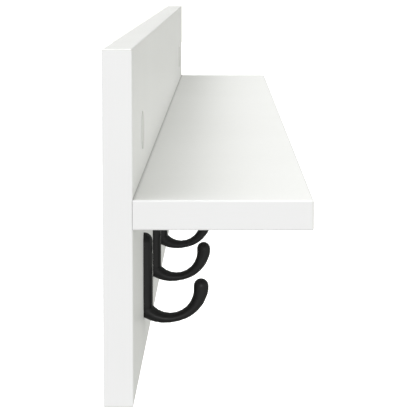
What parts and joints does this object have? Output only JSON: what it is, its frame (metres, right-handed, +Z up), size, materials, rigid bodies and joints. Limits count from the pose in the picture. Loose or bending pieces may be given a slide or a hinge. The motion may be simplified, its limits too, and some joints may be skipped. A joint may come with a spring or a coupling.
{
  "type": "wall hook rack",
  "caption": "Long white wall rack: an upright board with a shelf across its middle and a row of black J-shaped coat hooks beneath the shelf.",
  "frame": {"origin": "on the wall, at the middle of the back panel's rear face", "axes": "+X along the rack, to the right as seen from the front; +Y into the wall; +Z up. The shelf and the hooks stand out towards -Y"},
  "size_m": [1, 0.105, 0.18],
  "materials": {
    "white_board": "satin white melamine face on particleboard",
    "white_banding": "satin white plastic edge banding",
    "black_coating": "satin black powder coat on cast zinc alloy",
    "black_screw": "black oxide on steel",
    "zinc_screw": "bright zinc plate on steel",
    "beech": "plain planed hardwood",
    "white_cap": "matt white moulded plastic"
  },
  "bodies": {
    "root": {"back_panel": "white_board", "shelf": "white_board", "panel_band_top": "white_banding", "panel_band_bottom": "white_banding", "panel_band_left": "white_banding", "panel_band_right": "white_banding", "shelf_band_front": "white_banding", "shelf_band_left": "white_banding", "shelf_band_right": "white_banding", "hook_1": "black_coating", "hook_2": "black_coating", "hook_3": "black_coating", "hook_4": "black_coating", "hook_5": "black_coating", "hook_6": "black_coating", "hook_7": "black_coating", "hook_1_screws": "black_screw", "hook_2_screws": "black_screw", "hook_3_screws": "black_screw", "hook_4_screws": "black_screw", "hook_5_screws": "black_screw", "hook_6_screws": "black_screw", "hook_7_screws": "black_screw", "shelf_screws": "zinc_screw", "shelf_dowels": "beech", "screw_cap_left": "white_cap", "screw_cap_right": "white_cap"}
  },
  "joints": []
}
